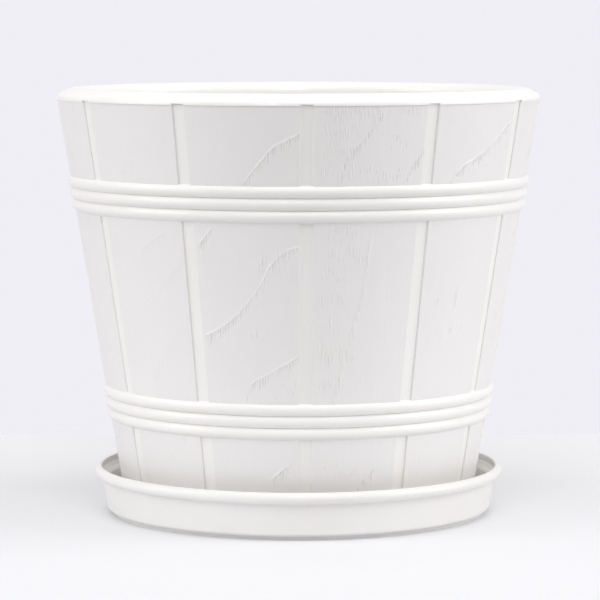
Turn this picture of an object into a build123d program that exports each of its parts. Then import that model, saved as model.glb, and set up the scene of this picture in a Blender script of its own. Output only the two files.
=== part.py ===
from build123d import *

import os

# Flower pot shaped like a staved barrel, standing in a round saucer.
# Millimetres, +Z up. The origin is on the vertical axis, in the plane that the saucer stands on.
# The front of the pot faces -Y.

# Pot: outer surface of the staves, from the foot up to the lip
pot_foot_r = 86.45
stave_top_r = 119.35
stave_h = 201.3
foot_edge_r = 1.0

# Pot: the staves stand out from the wall, with narrow strips of bare wall between them
wall_t = 2.3
stave_t = 0.45
strip_count = 12
strip_w = 6.0
strip_turn = 2.0
strip_notch_h = 0.75

# Pot: two hoops of three half-round rings each. The middle of the lower one is measured up
# from the pot's foot, and that of the upper one down from the lip.
lower_hoop_up = 51.6
upper_hoop_down = 45.8
rings_per_hoop = 3
ring_pitch = 5.8
ring_r = 3.3
ring_stand = 1.85

# Pot: lip, upright at its outer face, then sloping up to a rounded crown that leans inward
lip_overhang = 0.75
lip_w = 12.5
lip_face_h = 2.25
lip_rise = 5.9
lip_edge_r = 3.0
lip_crown_r = 4.5
lip_inner_h = 7.0
lip_blend_h = 14.0
lip_blend_r = 8.0

# Pot: floor, foot ring below it and drainage
foot_recess_h = 4.0
floor_t = 2.8
floor_corner_r = 5.0
drain_r = 4.0
drain_count = 8
drain_inset = 28.7
centre_drain_r = 5.0
foot_gap_w = 12.0
foot_gap_roof_t = 1.5
foot_gap_count = 4
foot_gap_turn = 0.0

# Saucer: sloping wall, clear of the pot's foot by the gap
saucer_h = 23.7
saucer_gap = 7.25
saucer_wall_t = 2.0
saucer_wall_spread = 2.7
saucer_corner_r = 2.0
saucer_inner_corner_r = 2.5

# Saucer: floor, with a foot ring set in from the wall
saucer_floor_t = 2.2
saucer_foot_h = 2.0
saucer_foot_w = 3.0
saucer_foot_ledge_w = 1.1

# Saucer: lip, half round outside, with an upright inner face that flares from the wall
saucer_lip_round_r = 2.7
saucer_lip_flat = 0.1
saucer_lip_step_w = 0.8
saucer_lip_edge_r = 0.5
saucer_lip_inner_h = 3.0
saucer_lip_flare_h = 4.0
saucer_flare_r = 1.5

# Saucer: ribs that hold the foot of the pot above the water
rib_count = 8
rib_w = 2.0
rib_h = 1.0
rib_inner_r = 16.0
rib_end_gap = 3.0
rib_turn = 22.5

# How far a cutting shape runs past the surfaces that it cuts
cut_past = 5.0
full_turn = 360.0

# Saucer: radii and heights that follow
saucer_base_r = pot_foot_r + saucer_gap + saucer_wall_t
saucer_foot_r = saucer_base_r - saucer_corner_r - saucer_foot_ledge_w
saucer_wall_top_r = saucer_base_r + saucer_wall_spread
saucer_wall_top_z = saucer_h - 2 * saucer_lip_round_r - saucer_lip_flat
saucer_floor_z = saucer_foot_h + saucer_floor_t

# Pot: it stands on the ribs of the saucer
pot_z = saucer_floor_z + rib_h
pot_floor_z = pot_z + foot_recess_h + floor_t
stave_top_z = pot_z + stave_h
lip_r = stave_top_r + lip_overhang
lip_inner_r = lip_r - lip_w
lip_inner_low_z = stave_top_z - lip_inner_h
lip_corner_z = stave_top_z + lip_face_h
lip_top_z = lip_corner_z + lip_rise


def saucer_wall_r(z):
    """Radius of the saucer's outer wall at height z."""
    slope = (saucer_wall_top_r - saucer_base_r) / (saucer_wall_top_z - saucer_foot_h)
    return saucer_base_r + slope * (z - saucer_foot_h)


def stave_r(z):
    """Radius of the staves' outer surface at height z."""
    return pot_foot_r + (stave_top_r - pot_foot_r) * (z - pot_z) / stave_h


def inner_r(z):
    """Radius of the pot's inner wall at height z, below the lip."""
    return stave_r(z) - stave_t - wall_t


def turned(*corners):
    """A solid turned about Z. Each corner of its outline is a radius, a height and a rounding."""
    points = [(r, z) for r, z, rounding in corners]
    roundings = [rounding for r, z, rounding in corners]
    outline = Plane.XZ * FilletPolyline(*points, radius=roundings, close=True)
    return revolve(make_face(outline), Axis.Z, full_turn)


def around(count, first_turn):
    """Evenly spaced turns about Z. Turn 0 faces the front, and turns grow towards +X."""
    return [Rot(0, 0, first_turn + full_turn * k / count) for k in range(count)]


def radial_bar(near_r, far_r, width, low_z, high_z):
    """A straight bar that runs outward to the front, between two distances from the axis."""
    middle = Pos(0, -(near_r + far_r) / 2, (low_z + high_z) / 2)
    return middle * Box(width, far_r - near_r, high_z - low_z)


def saucer_shell():
    """Foot ring, floor, wall and lip of the saucer."""
    foot_inner_r = saucer_foot_r - saucer_foot_w
    lip_outer_r = saucer_wall_top_r + saucer_lip_step_w + saucer_lip_round_r
    lip_inside_r = lip_outer_r - saucer_lip_round_r - saucer_lip_flat - saucer_lip_edge_r
    lip_inside_z = saucer_h - saucer_lip_inner_h
    flare_z = lip_inside_z - saucer_lip_flare_h
    flare_r = saucer_wall_r(flare_z) - saucer_wall_t
    floor_edge_r = saucer_wall_r(saucer_floor_z) - saucer_wall_t
    return turned(
        (0, saucer_foot_h, 0),
        (foot_inner_r, saucer_foot_h, 0),
        (foot_inner_r, 0, 0),
        (saucer_foot_r, 0, 0),
        (saucer_foot_r, saucer_foot_h, 0),
        (saucer_base_r, saucer_foot_h, saucer_corner_r),
        (saucer_wall_top_r, saucer_wall_top_z, 0),
        (lip_outer_r, saucer_wall_top_z, saucer_lip_round_r),
        (lip_outer_r, saucer_h, saucer_lip_round_r),
        (lip_inside_r, saucer_h, saucer_lip_edge_r),
        (lip_inside_r, lip_inside_z, saucer_flare_r),
        (flare_r, flare_z, saucer_flare_r),
        (floor_edge_r, saucer_floor_z, saucer_inner_corner_r),
        (0, saucer_floor_z, 0),
    )


def make_saucer():
    """The saucer, with the ribs on its floor."""
    rib_outer_r = saucer_wall_r(saucer_floor_z) - saucer_wall_t - rib_end_gap
    # Each rib starts below the floor's surface, so that it grows out of the floor.
    rib_root_z = saucer_floor_z - saucer_floor_t / 2
    rib = radial_bar(rib_inner_r, rib_outer_r, rib_w, rib_root_z, saucer_floor_z + rib_h)
    return saucer_shell() + [turn * rib for turn in around(rib_count, rib_turn)]


def pot_shell():
    """Foot ring, floor, wall and lip of the pot, without strips and hoops."""
    recess_z = pot_z + foot_recess_h
    blend_z = lip_inner_low_z - lip_blend_h
    return turned(
        (0, recess_z, 0),
        (inner_r(pot_z), recess_z, 0),
        (inner_r(pot_z), pot_z, 0),
        (pot_foot_r, pot_z, foot_edge_r),
        (stave_top_r, stave_top_z, 0),
        (lip_r, stave_top_z, 0),
        (lip_r, lip_corner_z, lip_edge_r),
        (lip_inner_r, lip_top_z, lip_crown_r),
        (lip_inner_r, lip_inner_low_z, lip_blend_r),
        (inner_r(blend_z), blend_z, lip_blend_r),
        (inner_r(pot_floor_z), pot_floor_z, floor_corner_r),
        (0, pot_floor_z, 0),
    )


def strips():
    """The recesses between the staves. They run up into the lip's lower edge."""
    low_z = pot_z - cut_past
    high_z = stave_top_z + strip_notch_h
    sleeve = turned(
        (stave_r(low_z) - stave_t, low_z, 0),
        (lip_r + cut_past, low_z, 0),
        (lip_r + cut_past, high_z, 0),
        (stave_r(high_z) - stave_t, high_z, 0),
    )
    bar = radial_bar(0, lip_r + 2 * cut_past, strip_w, low_z, high_z)
    return [sleeve & (turn * bar) for turn in around(strip_count, strip_turn)]


def hoop(middle_z):
    """A hoop: half-round rings side by side, rooted halfway into the wall behind the strips."""
    middle_ring = (rings_per_hoop - 1) / 2
    heights = [middle_z + ring_pitch * (k - middle_ring) for k in range(rings_per_hoop)]
    rings = [Pos(stave_r(z) + ring_stand - ring_r, z) * Circle(ring_r) for z in heights]
    low_z = min(heights) - 2 * ring_r
    high_z = max(heights) + 2 * ring_r
    root_t = stave_t + wall_t / 2
    band = make_face(
        Polyline(
            (stave_r(low_z) - root_t, low_z),
            (lip_r + cut_past, low_z),
            (lip_r + cut_past, high_z),
            (stave_r(high_z) - root_t, high_z),
            close=True,
        )
    )
    outline = (Sketch() + rings) & band
    return revolve(Plane.XZ * outline, Axis.Z, full_turn)


def drains():
    """The holes through the pot's floor and the gaps through its foot ring."""
    depth = floor_t + 2 * cut_past
    floor_middle_z = pot_floor_z - floor_t / 2
    circle_r = inner_r(pot_z) - drain_inset
    hole = Pos(0, -circle_r, floor_middle_z) * Cylinder(drain_r, depth)
    centre_hole = Pos(0, 0, floor_middle_z) * Cylinder(centre_drain_r, depth)
    low_z = pot_z - cut_past
    high_z = pot_z + foot_recess_h - foot_gap_roof_t
    gap = radial_bar(
        inner_r(pot_z) - cut_past, pot_foot_r + cut_past, foot_gap_w, low_z, high_z
    )
    holes = [turn * hole for turn in around(drain_count, 0)]
    gaps = [turn * gap for turn in around(foot_gap_count, foot_gap_turn)]
    return [centre_hole] + holes + gaps


def make_pot():
    """The pot: staves, strips, hoops and lip round a hollow with a drained floor."""
    hoops = [hoop(pot_z + lower_hoop_up), hoop(stave_top_z - upper_hoop_down)]
    return pot_shell() - strips() + hoops - drains()


os.makedirs("parts", exist_ok=True)
pieces = {"saucer": make_saucer(), "pot": make_pot()}
for name, piece in pieces.items():
    piece.label = name
    export_step(piece, f"parts/{name}.step")
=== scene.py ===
import math

import bpy
import numpy as np
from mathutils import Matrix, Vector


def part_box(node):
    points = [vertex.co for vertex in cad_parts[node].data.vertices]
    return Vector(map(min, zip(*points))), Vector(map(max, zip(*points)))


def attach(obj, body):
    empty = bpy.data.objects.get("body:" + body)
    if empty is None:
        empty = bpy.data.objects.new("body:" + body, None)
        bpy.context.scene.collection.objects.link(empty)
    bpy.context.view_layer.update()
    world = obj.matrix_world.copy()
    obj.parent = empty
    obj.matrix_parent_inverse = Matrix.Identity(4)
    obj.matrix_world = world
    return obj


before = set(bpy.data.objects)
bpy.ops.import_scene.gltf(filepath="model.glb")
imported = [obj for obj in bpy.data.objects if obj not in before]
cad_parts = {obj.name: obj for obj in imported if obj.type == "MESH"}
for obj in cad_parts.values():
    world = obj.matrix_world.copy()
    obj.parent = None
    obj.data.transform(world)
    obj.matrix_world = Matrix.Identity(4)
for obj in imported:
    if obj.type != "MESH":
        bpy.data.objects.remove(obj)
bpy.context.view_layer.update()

# Everything is in metres, in the frame's own axes: +Z up, the front of the pot faces -Y.
MM = 0.001

# Camera: a long lens, a little above the lip, looking slightly down
CAMERA_PLACE = (0.8 * MM, -1566.8 * MM, 253.3 * MM)
CAMERA_DOWN = math.radians(5.38)
CAMERA_LENS = 188.66
CAMERA_SENSOR = 36.0

# Staves: outer surface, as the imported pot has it
FOOT_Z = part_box("pot")[0].z
FOOT_R = 86.45 * MM
TOP_R = 119.35 * MM
STAVE_H = 201.3 * MM
STAVE_COUNT = 12
STAVE_TURN = 2 * math.pi / STAVE_COUNT
FIRST_STRIP = math.radians(2.0)
STRIP_W = 6.0 * MM
STRIP_DEPTH = 0.45 * MM

# Hoops: the stave plates dip where the rings cross them
HOOP_UPS = (51.6, 155.5)
RING_PITCH = 5.8
RING_COVER = 2.4
RING_RAMP = 1.2
RING_DIP = 0.5

# Stave plates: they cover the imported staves, with the grain as real relief
PLATE_LOW = 1.2 * MM
PLATE_INTO_LIP = 0.3 * MM
PLATE_ROOT = 0.15 * MM
SIDE_COVER = 0.06 * MM
EDGE_ROUND = 0.45
ROWS = 520
INNER_COLUMNS = 12
FINE_PER_INNER = 15
COLUMNS = INNER_COLUMNS * FINE_PER_INNER
SHARP_ANGLE = math.radians(50)

# Grain relief in millimetres: how far the plain surface of a plate stands out from the packed
# staves, and the furthest that any grain may, below the overhang of the lip
SURFACE_LIFT = 0.30
LIP_ROOM = 0.68
# Fine streaks and broad bands
STREAK_DEEP = 0.02
BAND_DEEP = 0.03
# Steps in the surface, with a comb of ticks hanging below each
LINE_EASE = 3.0
STEP_HIGH = 0.38
STEP_W = 0.8
STEP_REACH = 4.5
TICK_PITCH = 1.3
TICK_DEEP = 0.60
TICK_SLANT = 0.06
TICK_SHORT = 2.5
TICK_LONG = 9.0
# Short dashes, scattered about their rows
DASH_HIGH = 0.38
DASH_W = 0.26
DASH_GROOVE = 0.45
DASH_SPREAD = 3.2
DRAWN_DENSITY = 1.4

# Grain lines of the staves in front, as listed: each point is the distance across from the
# stave's middle and up from the foot, in millimetres
GRAIN_LINES = {
    12: [
        [(-0.5, 165), (8, 175), (14, 182), (27, 189)],
        [(-22, 92.6), (-11, 98.4), (-1, 108), (6, 117), (10.7, 126.5), (17, 133), (25, 136)],
        [(-2.4, 63.4), (0.3, 70.8), (10, 75.8), (23.6, 84)],
        [(-23.3, 137), (-16, 144.5)],
        [(8, 24), (18, 33)],
    ],
    1: [
        [(-15.7, 165), (-11.2, 178), (-3.6, 187.3), (5.4, 200)],
        [(17.8, 165), (22.4, 175.7), (28, 182)],
        [(-12.3, 62), (-8.8, 77.6), (-4.5, 98), (0.2, 118.6), (0.8, 134), (2.7, 145)],
        [(-0.2, 17.3), (10.4, 29.5)],
    ],
    2: [
        [(-16, 165), (-10, 172), (5, 178.6), (27, 194)],
        [(-4, 109.9), (1.6, 118.3)],
        [(-2.8, 107.4), (-0.5, 110.2)],
        [(-15, 108.7), (-12.5, 111.9)],
    ],
}
# Rows of short dashes: stave, across from and to, up, how many, and how long they are
DASH_ROWS = {
    1: [
        (-24, 6, 198, 28, 4.5), (-24, -6, 190, 13, 4.0), (-24, -9, 181, 11, 4.0), (-24, -4, 172, 8, 6.0),
        (-2, 16, 169, 11, 4.0), (14, 24, 198, 8, 4.0), (9, 18, 184, 6, 3.5),
        (-20, -6, 141, 10, 5.0), (-21, -2, 132, 13, 5.0), (-22, -9, 122, 8, 3.5), (-21, -9, 110, 10, 6.0),
        (-20, -10, 98, 8, 5.0), (-20, -3, 84, 11, 7.0), (-19, -8, 70, 8, 6.0), (-16, 2, 28, 8, 4.0),
    ],
    12: [
        (4, 26, 128, 10, 6.0), (10, 24, 66, 6, 4.0), (0, 4, 96, 3, 5.0), (2, 14, 150, 4, 4.0),
    ],
    2: [(-20, 20, 150, 8, 4.0), (-18, 10, 92, 7, 5.0)],
}
# How strongly each stave in front shows its grain. The others show all of it.
GRAIN_SHARE = {10: 0.45, 11: 0.35}

# The middle of the saucer's wall, as a radius and a height low down and high up, and the middle
# of its floor. Inside of them the plastic is painted paler and warmer: painted light, standing in for
# light that comes through the plastic.
WALL_LOW = (94.7 * MM, 2.0 * MM)
WALL_HIGH = (97.4 * MM, 18.0 * MM)
FLOOR_MIDDLE_Z = 3.0 * MM

# Colours
BACKDROP = (0.868, 0.860, 0.912, 1.0)
GRAINED = (0.852, 0.835, 0.832, 1.0)
GRAINED_DEEP = (0.838, 0.820, 0.808, 1.0)
SMOOTH = (0.905, 0.893, 0.878, 1.0)
SMOOTH_DEEP = (0.890, 0.872, 0.845, 1.0)
SAUCER = (0.850, 0.836, 0.820, 1.0)
SAUCER_DEEP = (0.838, 0.820, 0.792, 1.0)
# Painted light: paler and warmer inside the saucer's wall, standing in for light through the plastic
SAUCER_INSIDE_PAINTED_LIGHT = (0.97, 0.955, 0.89, 1.0)
# Painted light: the table's back is painted paler, standing in for light
TABLE_NEAR = (0.805, 0.805, 0.828, 1.0)
TABLE_FAR_PAINTED_LIGHT = (0.93, 0.93, 0.95, 1.0)


def material(name):
    """A new node material, its tree and its shader."""
    made = bpy.data.materials.new(name)
    made.use_nodes = True
    tree = made.node_tree
    return made, tree, tree.nodes["Principled BSDF"]


def noise(tree, source, scale, detail, roughness=0.5):
    """A noise texture that reads the given coordinates."""
    node = tree.nodes.new("ShaderNodeTexNoise")
    node.inputs["Scale"].default_value = scale
    node.inputs["Detail"].default_value = detail
    node.inputs["Roughness"].default_value = roughness
    tree.links.new(source, node.inputs["Vector"])
    return node.outputs["Fac"]


def stretched(tree, source, scale):
    """Coordinates scaled by a different amount along each axis."""
    node = tree.nodes.new("ShaderNodeMapping")
    node.inputs["Scale"].default_value = scale
    tree.links.new(source, node.inputs["Vector"])
    return node.outputs["Vector"]


def mapped(tree, source, low, high):
    """The source's middle range spread over low to high."""
    node = tree.nodes.new("ShaderNodeMapRange")
    node.inputs["From Min"].default_value = 0.3
    node.inputs["From Max"].default_value = 0.7
    node.inputs["To Min"].default_value = low
    node.inputs["To Max"].default_value = high
    tree.links.new(source, node.inputs["Value"])
    return node.outputs["Result"]


def tint(tree, factor, first, second):
    """A colour between two, by the factor."""
    node = tree.nodes.new("ShaderNodeMix")
    node.data_type = "RGBA"
    node.inputs["A"].default_value = first
    node.inputs["B"].default_value = second
    tree.links.new(factor, node.inputs["Factor"])
    return node.outputs["Result"]


def bump(tree, height, distance, strength, under=None):
    """A bump from a height, on top of another bump if one is given."""
    node = tree.nodes.new("ShaderNodeBump")
    node.inputs["Distance"].default_value = distance
    node.inputs["Strength"].default_value = strength
    tree.links.new(height, node.inputs["Height"])
    if under is not None:
        tree.links.new(under, node.inputs["Normal"])
    return node.outputs["Normal"]


def painted_light_zone(tree, place):
    """1 within the saucer's wall and above its floor, where the painted light goes, and 0 elsewhere."""
    axes = tree.nodes.new("ShaderNodeSeparateXYZ")
    tree.links.new(place, axes.inputs["Vector"])
    level = tree.nodes.new("ShaderNodeCombineXYZ")
    tree.links.new(axes.outputs["X"], level.inputs["X"])
    tree.links.new(axes.outputs["Y"], level.inputs["Y"])
    radius = tree.nodes.new("ShaderNodeVectorMath")
    radius.operation = "LENGTH"
    tree.links.new(level.outputs["Vector"], radius.inputs[0])
    wall = tree.nodes.new("ShaderNodeMapRange")
    wall.inputs["From Min"].default_value = WALL_LOW[1]
    wall.inputs["From Max"].default_value = WALL_HIGH[1]
    wall.inputs["To Min"].default_value = WALL_LOW[0]
    wall.inputs["To Max"].default_value = WALL_HIGH[0]
    tree.links.new(axes.outputs["Z"], wall.inputs["Value"])
    inside = tree.nodes.new("ShaderNodeMath")
    inside.operation = "LESS_THAN"
    tree.links.new(radius.outputs["Value"], inside.inputs[0])
    tree.links.new(wall.outputs["Result"], inside.inputs[1])
    above = tree.nodes.new("ShaderNodeMath")
    above.operation = "GREATER_THAN"
    above.inputs[1].default_value = FLOOR_MIDDLE_Z
    tree.links.new(axes.outputs["Z"], above.inputs[0])
    held = tree.nodes.new("ShaderNodeMath")
    held.operation = "MULTIPLY"
    tree.links.new(inside.outputs[0], held.inputs[0])
    tree.links.new(above.outputs[0], held.inputs[1])
    return held.outputs[0]


def plastic(name, colour, deep_colour, gloss_low, gloss_high, grain=0.0, inside=None):
    """Moulded white plastic. Grain is the depth of its fine streaks, in metres, and inside is
    the painted light within the saucer's wall: a paler, warmer colour standing in for light through the
    plastic."""
    made, tree, shader = material(name)
    place = tree.nodes.new("ShaderNodeTexCoord").outputs["Object"]
    clouds = noise(tree, place, 18.0, 3.0)
    specks = noise(tree, place, 900.0, 2.0)
    swirl = noise(tree, place, 160.0, 3.0)
    skin_colour = tint(tree, mapped(tree, clouds, 0.0, 1.0), colour, deep_colour)
    if inside:
        # Painted light: within the saucer's wall the colour turns paler and warmer, standing in for light
        # through the plastic
        both = tree.nodes.new("ShaderNodeMix")
        both.data_type = "RGBA"
        both.inputs["B"].default_value = inside
        tree.links.new(painted_light_zone(tree, place), both.inputs["Factor"])
        tree.links.new(skin_colour, both.inputs["A"])
        skin_colour = both.outputs["Result"]
    tree.links.new(skin_colour, shader.inputs["Base Color"])
    tree.links.new(mapped(tree, swirl, gloss_low, gloss_high), shader.inputs["Roughness"])
    skin = bump(tree, specks, 0.00002, 0.35)
    if grain:
        streaks = noise(tree, stretched(tree, place, (1.0, 1.0, 0.03)), 1100.0, 3.0, 0.6)
        skin = bump(tree, streaks, grain, 0.6, skin)
    tree.links.new(skin, shader.inputs["Normal"])
    shader.inputs["IOR"].default_value = 1.49
    return made


def table_top():
    """The pale matt table, painted a little paler towards its back: painted light."""
    made, tree, shader = material("table_top")
    place = tree.nodes.new("ShaderNodeTexCoord").outputs["Object"]
    axes = tree.nodes.new("ShaderNodeSeparateXYZ")
    tree.links.new(place, axes.inputs["Vector"])
    depth = tree.nodes.new("ShaderNodeMapRange")
    depth.inputs["From Min"].default_value = -0.12
    depth.inputs["From Max"].default_value = 0.12
    tree.links.new(axes.outputs["Y"], depth.inputs["Value"])
    # Painted light: the colour grows paler towards the back of the table
    colour = tint(tree, depth.outputs["Result"], TABLE_NEAR, TABLE_FAR_PAINTED_LIGHT)
    tree.links.new(colour, shader.inputs["Base Color"])
    shader.inputs["Roughness"].default_value = 0.6
    return made


def smooth_step(t):
    """0 below 0, 1 above 1, and smooth between."""
    t = np.clip(t, 0.0, 1.0)
    return t * t * (3.0 - 2.0 * t)


def value_noise(rng, across, up, cell_across, cell_up):
    """Smooth noise between -1 and 1, in cells of the given size."""
    gx = across / cell_across
    gy = up / cell_up
    gx = gx - gx.min()
    gy = gy - gy.min()
    table = rng.uniform(-1.0, 1.0, (int(gy.max()) + 3, int(gx.max()) + 3))
    ix = gx.astype(int)
    iy = gy.astype(int)
    fx = smooth_step(gx - ix)
    fy = smooth_step(gy - iy)
    low = table[iy, ix] * (1 - fx) + table[iy, ix + 1] * fx
    high = table[iy + 1, ix] * (1 - fx) + table[iy + 1, ix + 1] * fx
    return low * (1 - fy) + high * fy


def eased_line(points, at):
    """Height of a grain line at each place across, smooth at its points."""
    xs = np.array([p[0] for p in points], float)
    ys = np.array([p[1] for p in points], float)
    fine = np.linspace(xs[0], xs[-1], 80)
    heights = np.interp(fine, xs, ys)
    kernel = np.hanning(15)
    padded = np.pad(heights, 7, mode="reflect", reflect_type="odd")
    return np.interp(at, fine, np.convolve(padded, kernel / kernel.sum(), mode="valid"))


def grain_line(rng, across, up, points):
    """A step along a line: the surface stands out below it, cut by a comb of ticks."""
    start = points[0][0]
    end = points[-1][0]
    wander = 0.35 * value_noise(rng, across, up, 2.2, 9.0)
    line = eased_line(points, across) + wander
    slope = np.abs(eased_line(points, across + 0.5) - eased_line(points, across - 0.5))
    square_on = 1.0 / np.sqrt(1.0 + slope**2)
    below = line - up
    reach = smooth_step((across - start) / LINE_EASE + 0.5) * smooth_step((end - across) / LINE_EASE + 0.5)
    vary = 0.85 + 0.3 * value_noise(rng, across, up * 0, 3.0, 1.0)
    rise = smooth_step(below * square_on / STEP_W + 0.5)
    step = STEP_HIGH * vary * rise * np.exp(-np.clip(below, 0, None) / STEP_REACH)
    column = across + TICK_SLANT * below
    number = np.floor(column / TICK_PITCH)
    lengths = rng.uniform(TICK_SHORT, TICK_LONG, 4000)
    depths = rng.uniform(0.3, 1.0, 4000)
    index = (number + 2000).astype(int)
    length = lengths[index] * (0.6 + 0.4 * square_on)
    fall = smooth_step(below / 0.5 - 1.0) * (1.0 - smooth_step(2.0 * below / length - 1.0))
    comb = (0.5 - 0.5 * np.cos(2 * math.pi * column / TICK_PITCH)) ** 2
    return reach * (step - TICK_DEEP * depths[index] * fall * comb)


def dash(across, up, place, high, length):
    """One short upright ridge with a groove beside it."""
    side = (across - place[0]) / DASH_W
    along = (up - place[1]) / (0.5 * length)
    fade = np.exp(-(along**4))
    return high * fade * (np.exp(-(side**2)) - DASH_GROOVE * np.exp(-((side - 2.0) ** 2)))


def dashes(rng, across, up, rows):
    """Rows of short dashes, unevenly spread."""
    relief = np.zeros_like(across)
    for start, end, height, count, length in rows:
        for k in range(count):
            place = (
                start + (end - start) * (k + rng.uniform(0.1, 0.9)) / count,
                height + rng.uniform(-DASH_SPREAD, DASH_SPREAD),
            )
            high = DASH_HIGH * rng.uniform(0.45, 1.0)
            relief += dash(across, up, place, high, length * rng.uniform(0.5, 1.0))
    return relief


def drawn_lines(rng):
    """Grain lines for a stave that the front view doesn't show: they climb to the right."""
    lines = []
    height = rng.uniform(18, 40)
    while height < 185:
        start = rng.uniform(-22, 2)
        width = rng.uniform(14, 30)
        rise = rng.uniform(10, 32)
        steps = np.linspace(0, 1, 4)
        bend = rng.uniform(0.6, 1.6)
        line = [(start + width * t, height + rise * t**bend) for t in steps]
        lines.append([(x, y + rng.uniform(-1.2, 1.2)) for x, y in line])
        height += rng.uniform(28, 48)
    return lines


def drawn_dashes(rng):
    """Rows of dashes for a stave that the front view doesn't show."""
    rows = []
    for k in range(8):
        start = rng.uniform(-22, 8)
        end = start + rng.uniform(8, 18)
        height = rng.uniform(25, 190)
        count = round(DRAWN_DENSITY * rng.integers(4, 9))
        rows.append((start, end, height, count, rng.uniform(3.5, 6.5)))
    return rows


def stave_relief(number, across, up, half_width):
    """How far a stave's surface stands out at each place, in millimetres."""
    rng = np.random.default_rng(4100 + number)
    streaks = value_noise(rng, across, up, 0.7, 16.0) + 0.6 * value_noise(rng, across, up, 1.5, 34.0)
    bands = value_noise(rng, across, up, 5.0, 60.0)
    relief = STREAK_DEEP * streaks + BAND_DEEP * bands
    share = GRAIN_SHARE.get(number, 1.0)
    lines = GRAIN_LINES.get(number) or drawn_lines(rng)
    rows = DASH_ROWS.get(number) or drawn_dashes(rng)
    for points in lines:
        relief = relief + share * grain_line(rng, across, up, points)
    relief = relief + share * dashes(rng, across, up, rows)
    relief = np.clip(relief, -SURFACE_LIFT + 0.03, LIP_ROOM - SURFACE_LIFT) + SURFACE_LIFT
    from_side = half_width - np.abs(across)
    turned_in = np.clip(EDGE_ROUND - from_side, 0.0, EDGE_ROUND)
    relief = relief - (EDGE_ROUND - np.sqrt(EDGE_ROUND**2 - turned_in**2))
    for hoop_up in HOOP_UPS:
        inside = RING_PITCH + RING_COVER - np.abs(up - hoop_up)
        relief = relief - RING_DIP * smooth_step(inside / RING_RAMP)
    # A plate never sinks below the bottom of the strips beside it.
    return np.maximum(relief, -STRIP_DEPTH / MM)


def stave_points(number):
    """Outer and inner points of a stave plate, row by row from the foot up."""
    middle = FIRST_STRIP + STAVE_TURN * (number - 0.5)
    z = np.linspace(FOOT_Z + PLATE_LOW, FOOT_Z + STAVE_H + PLATE_INTO_LIP, ROWS + 1)[:, None]
    radius = FOOT_R + (TOP_R - FOOT_R) * (z - FOOT_Z) / STAVE_H
    edge = STRIP_W / 2 - SIDE_COVER
    fine = np.linspace(-1.0, 1.0, COLUMNS + 1)
    # The columns crowd towards the sides, where the edge is rounded.
    share = (0.72 * fine + 0.28 * np.sin(0.5 * math.pi * fine))[None, :]
    half_angle = 0.5 * STAVE_TURN - np.arcsin(edge / radius)
    across = share * half_angle * radius / MM
    up = np.broadcast_to((z - FOOT_Z) / MM, across.shape)
    relief = stave_relief(number, across, up, half_angle * radius / MM) * MM
    outer = on_cone(radius + relief, middle + share * half_angle, z)
    root_r = radius - STRIP_DEPTH - PLATE_ROOT
    root_half = 0.5 * STAVE_TURN - np.arcsin(edge / root_r)
    inner = on_cone(root_r + 0 * across, middle + share * root_half, z)
    return outer, inner[:, ::FINE_PER_INNER]


def on_cone(radius, turn, z):
    """Points at a radius, a turn from the front and a height."""
    return np.stack([radius * np.sin(turn), -radius * np.cos(turn), z + 0 * radius], axis=-1)


def grid_faces(index, flip):
    """Quads between neighbouring rows and columns of an index grid."""
    a, b = index[:-1, :-1].ravel(), index[:-1, 1:].ravel()
    c, d = index[1:, 1:].ravel(), index[1:, :-1].ravel()
    corners = (a, d, c, b) if flip else (a, b, c, d)
    return np.stack(corners, axis=1).tolist()


def end_faces(outer_row, inner_row, flip):
    """Triangles between a fine outer row and a coarse inner row."""
    faces = []
    for j in range(INNER_COLUMNS):
        first = j * FINE_PER_INNER
        for k in range(first, first + FINE_PER_INNER):
            faces.append((inner_row[j], outer_row[k + 1], outer_row[k]))
        faces.append((inner_row[j], inner_row[j + 1], outer_row[first + FINE_PER_INNER]))
    return [tuple(reversed(face)) for face in faces] if flip else faces


def stave_plate(number, skin):
    """A closed plate with the grain on its outside."""
    outer, inner = stave_points(number)
    outer_index = np.arange(outer.shape[0] * outer.shape[1]).reshape(outer.shape[:2])
    inner_index = outer_index.size + np.arange(inner.shape[0] * inner.shape[1]).reshape(inner.shape[:2])
    faces = grid_faces(outer_index, False) + grid_faces(inner_index, True)
    faces += grid_faces(np.stack([inner_index[:, 0], outer_index[:, 0]], axis=1), False)
    faces += grid_faces(np.stack([outer_index[:, -1], inner_index[:, -1]], axis=1), False)
    faces += end_faces(outer_index[0], inner_index[0], False)
    faces += end_faces(outer_index[-1], inner_index[-1], True)
    points = np.concatenate([outer.reshape(-1, 3), inner.reshape(-1, 3)]).tolist()
    name = f"stave_{number:02d}"
    mesh = bpy.data.meshes.new(name)
    mesh.from_pydata(points, [], faces)
    mesh.polygons.foreach_set("use_smooth", np.ones(len(mesh.polygons), bool))
    mesh.set_sharp_from_angle(angle=SHARP_ANGLE)
    mesh.materials.append(skin)
    mesh.update()
    plate = bpy.data.objects.new(name, mesh)
    bpy.context.scene.collection.objects.link(plate)
    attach(plate, "pot")
    return plate


def place_camera():
    """The photograph's camera."""
    lens = bpy.data.cameras.new("camera")
    lens.lens = CAMERA_LENS
    lens.sensor_width = CAMERA_SENSOR
    lens.clip_end = 50.0
    camera = bpy.data.objects.new("camera", lens)
    camera.location = CAMERA_PLACE
    camera.rotation_euler = (math.pi / 2 - CAMERA_DOWN, 0.0, 0.0)
    bpy.context.scene.collection.objects.link(camera)
    bpy.context.scene.camera = camera


def softbox(name, place, aim, width, depth, power):
    """A rectangular lamp that faces a point."""
    lamp = bpy.data.lights.new(name, "AREA")
    lamp.shape = "RECTANGLE"
    lamp.size = width
    lamp.size_y = depth
    lamp.energy = power
    box = bpy.data.objects.new(name, lamp)
    box.location = place
    towards = [a - p for a, p in zip(aim, place)]
    length = math.sqrt(sum(t * t for t in towards))
    tilt = math.acos(-towards[2] / length)
    box.rotation_euler = (tilt, 0.0, math.atan2(towards[1], towards[0]) + math.pi * 1.5)
    bpy.context.scene.collection.objects.link(box)


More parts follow.
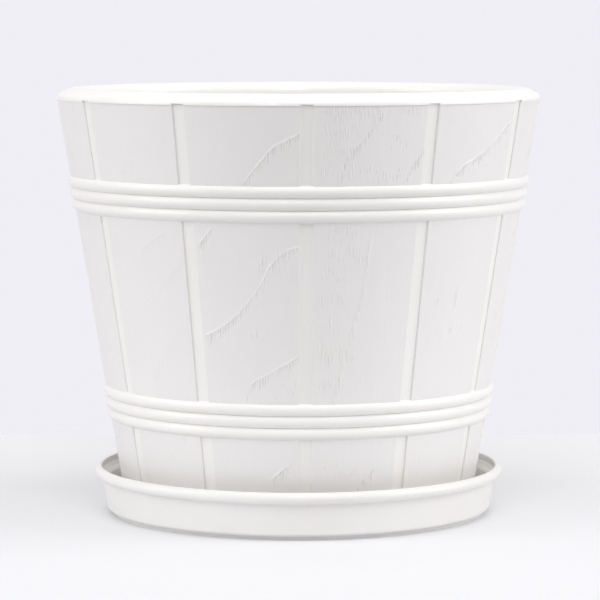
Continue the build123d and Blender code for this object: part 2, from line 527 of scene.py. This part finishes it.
def light_scene():
    """Soft light from the front, from above and from both sides, and an even surround."""
    pot_middle = (0.0, 0.0, 0.12)
    softbox("key_light", (0.0, -1.3, 1.25), pot_middle, 1.4, 1.0, 9.3)
    softbox("top_light", (0.0, -0.25, 1.7), pot_middle, 1.8, 1.5, 7.9)
    softbox("left_light", (-1.6, -0.5, 0.9), pot_middle, 1.2, 1.2, 12.8)
    softbox("right_light", (1.6, -0.3, 0.9), pot_middle, 1.2, 1.2, 14.6)
    world = bpy.data.worlds.new("surround")
    bpy.context.scene.world = world
    world.use_nodes = True
    tree = world.node_tree
    even = tree.nodes["Background"]
    even.inputs["Color"].default_value = (1.0, 1.0, 1.0, 1.0)
    even.inputs["Strength"].default_value = 0.36
    seen = tree.nodes.new("ShaderNodeBackground")
    seen.inputs["Color"].default_value = BACKDROP
    seen.inputs["Strength"].default_value = 1.0
    path = tree.nodes.new("ShaderNodeLightPath")
    direct = seen_directly(tree, path)
    mix = tree.nodes.new("ShaderNodeMixShader")
    tree.links.new(direct, mix.inputs[0])
    tree.links.new(even.outputs[0], mix.inputs[1])
    tree.links.new(seen.outputs[0], mix.inputs[2])
    tree.links.new(mix.outputs[0], tree.nodes["World Output"].inputs["Surface"])


def seen_directly(tree, path):
    """1 for rays that show the backdrop itself: those of the camera, of gloss and of transmission."""
    total = path.outputs["Is Camera Ray"]
    for name in ("Is Glossy Ray", "Is Transmission Ray"):
        node = tree.nodes.new("ShaderNodeMath")
        node.operation = "MAXIMUM"
        tree.links.new(total, node.inputs[0])
        tree.links.new(path.outputs[name], node.inputs[1])
        total = node.outputs[0]
    return total


def table():
    """A wide table whose back edge is a little behind the pot."""
    half_width = 1.3
    half_depth = 0.283
    thick = 0.03
    mesh = bpy.data.meshes.new("table")
    levels = (-thick, 0.0)
    ends = (-half_depth, half_depth)
    sides = (-half_width, half_width)
    corners = [(x, y, z) for z in levels for y in ends for x in sides]
    faces = [(0, 2, 3, 1), (4, 5, 7, 6), (0, 1, 5, 4), (1, 3, 7, 5), (3, 2, 6, 7), (2, 0, 4, 6)]
    mesh.from_pydata(corners, [], faces)
    mesh.materials.append(table_top())
    top = bpy.data.objects.new("table", mesh)
    bpy.context.scene.collection.objects.link(top)
    rounded = top.modifiers.new("rounded", "BEVEL")
    rounded.width = 0.006
    rounded.segments = 4


place_camera()
light_scene()
table()
smooth_plastic = plastic("smooth_plastic", SMOOTH, SMOOTH_DEEP, 0.28, 0.38)
saucer_plastic = plastic("saucer_plastic", SAUCER, SAUCER_DEEP, 0.28, 0.38, inside=SAUCER_INSIDE_PAINTED_LIGHT)
grained_plastic = plastic("grained_plastic", GRAINED, GRAINED_DEEP, 0.42, 0.56, grain=0.00003)
for node, skin in (("pot", smooth_plastic), ("saucer", saucer_plastic)):
    for k in range(len(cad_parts[node].data.materials)):
        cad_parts[node].data.materials[k] = skin
for number in range(1, STAVE_COUNT + 1):
    stave_plate(number, grained_plastic)

bpy.context.scene.view_settings.view_transform = "Standard"
